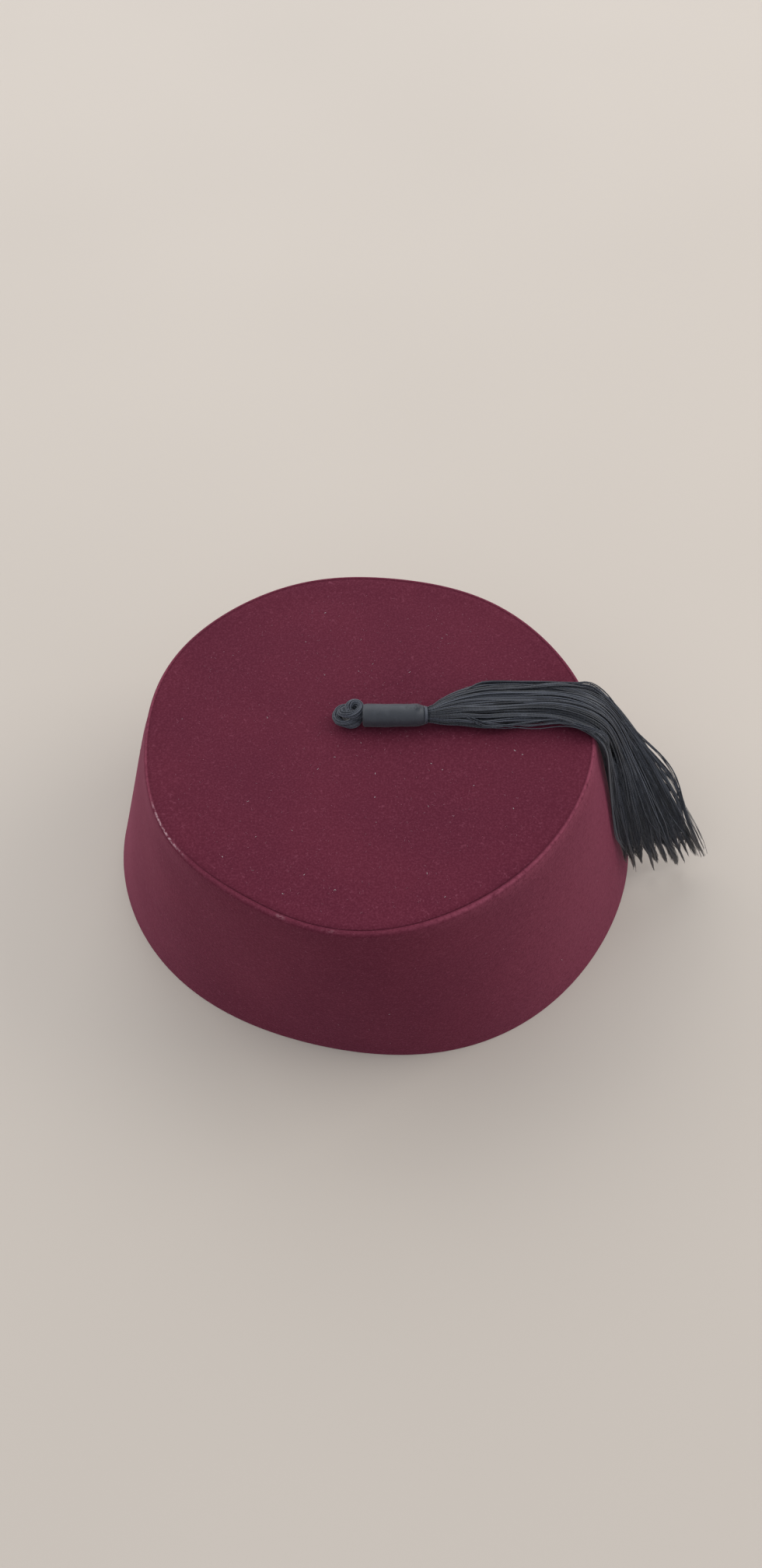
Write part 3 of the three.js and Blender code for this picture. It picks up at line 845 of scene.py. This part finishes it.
def makeKnot():
    form = knotForm
    rng = np.random.default_rng(form["seed"])
    t = np.linspace(0, 1, form["steps"])
    keys = ("turn", "ring", "east", "north", "up")
    columns = np.array([[row[key] for key in keys] for row in form["rows"]])
    turn, ring, east, north, up = curveThrough(columns, t).T
    turn = np.radians(turn)
    line = np.stack([east + ring * np.cos(turn), north + ring * np.sin(turn), up], -1)
    line = line + np.array([form["x"], form["y"], capForm["crownLevel"] + skirtForm["gap"]])
    along = np.gradient(line, axis=0)
    along /= np.linalg.norm(along, axis=1, keepdims=True)
    side = np.cross(along, zAxis)
    side /= np.linalg.norm(side, axis=1, keepdims=True)
    lift = np.cross(side, along)
    p, q = sunflower(form["threads"])
    twist = tau * form["twists"] * t[None, :] + rng.normal(0, 0.1, form["threads"])[:, None]
    loose = 1 + 0.1 * wander(rng, np.tile(t, (form["threads"], 1)) * 5)
    far = form["bundle"] * np.hypot(p, q)[:, None] * loose
    # A few outer threads stand off the left of the knot as a loose loop.
    loop = form["looseLoop"]
    away = np.exp(-(((t - loop["at"]) / loop["wide"]) ** 2))[None, :]
    far = far + np.where(rng.uniform(size=form["threads"]) < loop["share"], loop["far"], 0.0)[:, None] * away
    angle = np.arctan2(q, p)[:, None] + twist
    paths = line + far[..., None] * (np.cos(angle)[..., None] * side + np.sin(angle)[..., None] * lift)
    paths[..., 2] = np.maximum(paths[..., 2], capForm["crownLevel"] + skirtForm["gap"] + form["thread"])
    radii = np.full(paths.shape[:2], form["thread"])
    radii[:, -1] *= 0.4
    shade = rng.uniform(0.2, 1, form["threads"])
    piece = threadPiece("tasselKnot", paths + capMiddle, radii, lift, 5, shade)
    return dress(piece, silkThread, "black_silk", "tassel_knot")


# Binding: fine thread wound round the neck, two strands side by side, the last turn led back across the
# others.
bindingForm = {
    "radius": 2.95,
    "thread": 0.14,
    "turns": 3.2,
    "pitch": 0.33,
    "lean": 0.3,
    "steps": 240,
    "shades": (0.9, 0.5),
}

neckPast = sleeveForm["end"] - sleeveForm["start"] - 0.3  # where the binding starts along the sleeve's axis


def makeBinding():
    form = bindingForm
    t = np.linspace(0, 1, form["steps"])
    strands = []
    for offset in (0.0, 0.5):
        angle = tau * (form["turns"] * t + offset)
        back = smooth(t, 0.8, 1.0)
        past = form["pitch"] * form["turns"] * (t - 1.05 * back) + form["lean"] * np.sin(angle - 0.6)
        centre, _, across = sleeveAxis(neckPast + past)
        reach = (form["radius"] - 0.25 * t + 0.3 * back)[:, None]
        strands.append(centre + reach * (np.cos(angle)[:, None] * across + np.sin(angle)[:, None] * zAxis))
    paths = np.array(strands)
    paths[..., 2] = np.maximum(paths[..., 2], capForm["crownLevel"] + skirtForm["gap"])
    radii = np.full(paths.shape[:2], form["thread"])
    upright = sleeveAxis(neckPast)[1]
    piece = threadPiece("neckBinding", paths + capMiddle, radii, upright, 5, np.array(form["shades"]))
    return dress(piece, silkThread, "black_silk", "tassel_binding")


# Frayed hairs of the sleeve's wrapping: root + long * (out * run + lean * run^2). Some stand at the sleeve's
# ear, and the others are short ones all along it. back is how far they stand from the neck.
fraysForm = {
    "ear": {"count": 14, "back": (1.5, 2.7), "long": (0.7, 1.3), "angle": (84, 9), "ahead": 0.25},
    "sleeve": {"count": 60, "back": (3, 19), "long": (0.3, 0.5), "angle": (0, 180)},
    "radius": 0.035,
    "spread": 0.45,
    "steps": 9,
    "seed": 23,
}


def makeFrays():
    form, ear, rest = fraysForm, fraysForm["ear"], fraysForm["sleeve"]
    rng = np.random.default_rng(form["seed"])
    count = ear["count"] + rest["count"]
    inEar = np.arange(count) < ear["count"]
    run = np.linspace(0, 1, form["steps"])[None, :, None]
    angle = np.radians(np.where(inEar, rng.normal(*ear["angle"], count), rng.uniform(*rest["angle"], count)))
    back = np.where(inEar, rng.uniform(*ear["back"], count), rng.uniform(*rest["back"], count))
    root, along, across = sleeveAxis(neckPast - back)
    out = np.cos(angle)[:, None] * across + np.sin(angle)[:, None] * zAxis
    root = root + out * (sleeveForm["radius"] - 0.3)
    lean = rng.normal(0, form["spread"], (count, 3)) + along * np.where(inEar, ear["ahead"], 0.0)[:, None]
    long = np.where(inEar, rng.uniform(*ear["long"], count), rng.uniform(*rest["long"], count))
    hairs = root[:, None] + long[:, None, None] * (out[:, None] * run + lean[:, None] * run**2)
    radii = np.full(hairs.shape[:2], form["radius"])
    upright = rng.normal(size=(count, 1, 3))
    piece = threadPiece("sleeveFrays", hairs + capMiddle, radii, upright, 4, rng.uniform(0.5, 1, count))
    return dress(piece, wrappedSilk, "black_silk")


# A socket of a shader. Sums and products of sockets add Math nodes.
class Wire:
    def __init__(self, finish, socket):
        self.finish = finish
        self.socket = socket

    def maths(self, operation, first, second):
        return self.finish.node("ShaderNodeMath", {"operation": operation}, {0: first, 1: second})

    def __add__(self, other):
        return self.maths("ADD", self, other)

    def __mul__(self, other):
        return self.maths("MULTIPLY", self, other)

    __radd__ = __add__
    __rmul__ = __mul__


# A material. node adds any node: its settings first, then the values or wires of its inputs.
class Finish:
    def __init__(self, name):
        self.material = bpy.data.materials.new(name)
        self.material.use_nodes = True
        self.tree = self.material.node_tree
        self.tree.nodes.clear()

    def node(self, kind, settings=None, inputs=None, output=0):
        made = self.tree.nodes.new(kind)
        for key, value in (settings or {}).items():
            setattr(made, key, value)
        for key, value in (inputs or {}).items():
            if isinstance(value, Wire):
                self.tree.links.new(value.socket, made.inputs[key])
            else:
                made.inputs[key].default_value = value
        return Wire(self, made.outputs[output])

    def place(self):
        return self.node("ShaderNodeTexCoord", output="Object")

    def noise(self, scale, detail=2.0, roughness=0.5, distortion=0.0, at=None):
        values = {"Scale": scale, "Detail": detail, "Roughness": roughness, "Distortion": distortion}
        return self.node("ShaderNodeTexNoise", {}, {**values, "Vector": at or self.place()})

    def mask(self, value, low, high):
        limits = {"Value": value, "From Min": low, "From Max": high}
        return self.node("ShaderNodeMapRange", {"interpolation_type": "SMOOTHSTEP"}, limits)

    def shade(self, name):
        return self.node("ShaderNodeAttribute", {"attribute_name": name}, {}, "Fac")

    def mix(self, share, first, second, how="MIX"):
        settings = {"data_type": "RGBA", "blend_type": how}
        return self.node("ShaderNodeMix", settings, {0: share, 6: first, 7: second}, 2)

    def surface(self, inputs):
        shader = self.node("ShaderNodeBsdfPrincipled", {}, inputs)
        end = self.tree.nodes.new("ShaderNodeOutputMaterial")
        self.tree.links.new(shader.socket, end.inputs["Surface"])
        return self.material


feltColours = {
    "deep": (0.074, 0.0100, 0.0212, 1),
    "warm": (0.089, 0.0126, 0.0245, 1),
    "nap": (0.188, 0.050, 0.076, 1),
    # pale rubbed nap, also standing in for a painted highlight on the bead and painted light on the right
    # wall
    "rubbedAndLit": (0.235, 0.056, 0.086, 1),
    "bare": (0.42, 0.27, 0.29, 1),
    "creaseShadow": (0.035, 0.005, 0.011, 1),
    "sheen": (0.52, 0.142, 0.228, 1),
}


# Felt: slow clouds between two maroons, a fine grain of pale nap ends with painted shade in its hollows,
# the rubbed and bare stretches, a painted highlight on the bead, painted light on the right wall and the
# crease's painted shadow.
def makeFeltFinish():
    felt = Finish("maroonFelt")
    at = felt.place()
    clouds = felt.mask(felt.noise(26, 3, 0.55, at=at), 0.25, 0.8)
    colour = felt.mix(clouds, feltColours["deep"], feltColours["warm"])
    grain = felt.noise(1500, 3, 0.65, at=at)
    fleck = felt.mask(felt.noise(700, 2, 0.6, 1.2, at=at), 0.61, 0.72)
    colour = felt.mix(felt.mask(grain, 0.42, 0.78) * 0.26, colour, feltColours["nap"])
    colour = felt.mix(fleck * 0.34, colour, feltColours["nap"])
    # Painted shade: the grain's low points, the hollows of the bump, darkened towards the shadow colour.
    colour = felt.mix(felt.mask(grain, 0.58, 0.3) * 0.2, colour, feltColours["creaseShadow"])
    worn = felt.noise(760, 3, 0.75, at=at)
    # This mask carries rubbed nap, a painted highlight on the bead and painted light on the right wall.
    rubbedAndLit = felt.shade("rubbedAndLit") * felt.mask(worn, 0.2, 0.62)
    colour = felt.mix(rubbedAndLit * 0.75, colour, feltColours["rubbedAndLit"])
    bare = felt.shade("bare") * felt.mask(worn, 0.38, 0.6)
    colour = felt.mix(bare * 0.8, colour, feltColours["bare"])
    colour = felt.mix(felt.shade("crease") * 0.45, colour, feltColours["creaseShadow"])
    relief = grain * 0.6 + felt.noise(420, 3, 0.6, at=at) * 0.5 + felt.noise(90, 2, 0.5, at=at) * 0.9
    bump = felt.node("ShaderNodeBump", {}, {"Strength": 0.55, "Distance": 0.00035, "Height": relief})
    return felt.surface({
        "Base Color": colour,
        "Roughness": 0.7,
        "Specular IOR Level": 0.05,
        "Sheen Weight": 0.4,
        "Sheen Roughness": 0.45,
        "Sheen Tint": feltColours["sheen"],
        "Normal": bump,
    })


lintColours = {
    "nap": (0.235, 0.074, 0.105, 1),
    "pink": (0.30, 0.12, 0.155, 1),
    "white": (0.60, 0.54, 0.54, 1),
}


# Lint: soft pills hardly paler than the felt, pale pink hairs, and a few white ones.
def makeLintFinish():
    hair = Finish("paleLint")
    lot = hair.shade("threadShade")
    isHair = hair.mask(lot, lint["pills"] - 0.1, lint["pills"] + 0.1)
    colour = hair.mix(isHair, lintColours["nap"], lintColours["pink"])
    colour = hair.mix(hair.mask(lot, 0.975, 0.985), colour, lintColours["white"])
    return hair.surface({"Base Color": colour, "Roughness": 0.9, "Specular IOR Level": 0.1})


silkColours = {
    "low": (0.0090, 0.0103, 0.0138, 1),
    # paler silk, also a painted highlight for threads that catch the light
    "high": (0.052, 0.058, 0.075, 1),
    # painted light at the thread ends: glare and light through the thin tips
    "tips": (0.105, 0.090, 0.078, 1),
    "wrap": (0.0200, 0.0230, 0.0285, 1),
    "wrapWorn": (0.042, 0.046, 0.054, 1),
}


silkTwist = {"along": 6.0, "round": 12.566}  # radians of the twist a millimetre along, and once round it


# Silk thread: each thread its own shade of black, the paler ones a painted highlight for threads that catch
# the light; painted light on the lower, hanging part and at the tips; with a twist of two plies in the bump.
def makeThreadFinish():
    silk = Finish("silkThread")
    # Painted highlight: the paler threads stand for threads that catch the light.
    colour = silk.mix(silk.shade("threadShade"), silkColours["low"], silkColours["high"])
    colour = silk.mix(silk.mask(silk.noise(260, 2, 0.6), 0.45, 0.75) * 0.3, colour, silkColours["high"])
    # Painted light: the lower, hanging part of each thread made paler, as if lit from the front.
    colour = silk.mix(silk.mask(silk.shade("threadPlace"), 0.4, 0.75) * 0.3, colour, silkColours["high"])
    # Painted light: paler, warmer tips for glare and light through the thin ends.
    colour = silk.mix(silk.mask(silk.shade("threadPlace"), 0.84, 1.0) * 0.7, colour, silkColours["tips"])
    lay = silk.node("ShaderNodeTexCoord", output="UV")
    parts = silk.node("ShaderNodeSeparateXYZ", {}, {"Vector": lay})
    across = Wire(silk, parts.socket.node.outputs["Y"])
    ply = parts * silkTwist["along"] + across * silkTwist["round"]
    wave = silk.node("ShaderNodeMath", {"operation": "SINE"}, {0: ply})
    bump = silk.node("ShaderNodeBump", {}, {"Strength": 0.35, "Distance": 0.00004, "Height": wave})
    return silk.surface({
        "Base Color": colour,
        "Roughness": 0.46,
        "Specular IOR Level": 0.5,
        "Sheen Weight": 0.12,
        "Sheen Roughness": 0.4,
        "Normal": bump,
    })


# Wrapped silk of the sleeve: satin, a little worn in patches, with a fine grain of noise in the bump.
def makeWrapFinish():
    wrap = Finish("wrappedSilk")
    at = wrap.place()
    worn = wrap.mask(wrap.noise(300, 3, 0.6, at=at), 0.45, 0.72)
    colour = wrap.mix(worn * 0.5, silkColours["wrap"], silkColours["wrapWorn"])
    grain = wrap.noise(2600, 2, 0.6, at=at)
    bump = wrap.node("ShaderNodeBump", {}, {"Strength": 0.5, "Distance": 0.00008, "Height": grain})
    return wrap.surface({
        "Base Color": colour,
        "Roughness": 0.5,
        "Specular IOR Level": 0.42,
        "Sheen Weight": 0.1,
        "Sheen Roughness": 0.5,
        "Normal": bump,
    })


# Floor, light and camera: a plain pale floor, a window's soft light from behind left, a second from the
# right, and an even room light.
stageForm = {
    "floorSize": 4.0,
    "floorColour": (0.465, 0.41, 0.35, 1),
    "room": ((0.88, 0.92, 1.0, 1), 0.95),  # colour and strength
    "aim": (0, 0, 0.04),
    "lights": {
        "windowLeft": {"at": (-1.25, 0.85, 1.15), "size": 1.3, "watts": 11, "colour": (1.0, 0.985, 0.96)},
        "windowRight": {"at": (1.35, 0.35, 0.95), "size": 1.0, "watts": 11.5, "colour": (1.0, 0.98, 0.95)},
        "windowBack": {"at": (0.1, 2.2, 1.9), "size": 1.8, "watts": 20, "colour": (0.96, 0.98, 1.0)},
    },
}


def makeStage():
    half = stageForm["floorSize"] / 2 / mm
    corners = np.array([(-half, -half, 0), (half, -half, 0), (half, half, 0), (-half, half, 0)], float)
    floor = makePiece("floor", corners, [np.array([[0, 1, 2, 3]])])
    paint = Finish("paleFloor")
    tone = paint.mask(paint.noise(3, 2, 0.5), 0.3, 0.7)
    pale = tuple(0.96 * c for c in stageForm["floorColour"][:3]) + (1,)
    colour = paint.mix(tone, stageForm["floorColour"], pale)
    floor.data.materials.append(paint.surface({"Base Color": colour, "Roughness": 0.62}))
    world = bpy.data.worlds.new("room")
    world.use_nodes = True
    backdrop = world.node_tree.nodes["Background"]
    backdrop.inputs["Color"].default_value, backdrop.inputs["Strength"].default_value = stageForm["room"]
    bpy.context.scene.world = world
    for name, lamp in stageForm["lights"].items():
        light = bpy.data.lights.new(name, "AREA")
        light.size, light.energy, light.color = lamp["size"], lamp["watts"], lamp["colour"]
        holder = bpy.data.objects.new(name, light)
        holder.location = lamp["at"]
        aim = Vector(stageForm["aim"]) - holder.location
        holder.rotation_euler = aim.to_track_quat("-Z", "Y").to_euler()
        bpy.context.collection.objects.link(holder)


def makeCamera():
    eye = bpy.data.cameras.new("eye")
    eye.sensor_width = cameraPlace["sensor"]
    eye.lens = cameraPlace["focalPixels"] / cameraPlace["frameHeight"] * cameraPlace["sensor"]
    eye.clip_start = 0.02
    holder = bpy.data.objects.new("eye", eye)
    tilt = Matrix.Rotation(np.radians(90 - cameraPlace["belowHorizonDeg"]), 4, "X")
    roll = Matrix.Rotation(np.radians(cameraPlace["rollDeg"]), 4, "Z")
    place = (np.array(cameraPlace["fromCap"]) + capMiddle) * mm
    holder.matrix_world = Matrix.Translation(place) @ tilt @ roll
    bpy.context.collection.objects.link(holder)
    bpy.context.scene.camera = holder


makeCamera()
makeStage()
bpy.context.scene.view_settings.view_transform = "Standard"
print("camera, floor and light are set")

feltFinish = makeFeltFinish()
silkThread = makeThreadFinish()
wrappedSilk = makeWrapFinish()
dress(makeFeltCap(), feltFinish, "maroon_felt", "felt_cap")
dress(makeLint(), makeLintFinish(), "maroon_felt")
print("felt cap is made")
makeKnot()
makeSleeve()
makeBinding()
makeFrays()
print("knot, sleeve and binding are made")
makeSkirtThreads()
for name, seed in filaments["seeds"].items():
    makeFilaments(name, seed)
makeStrays()
print("skirt is made")
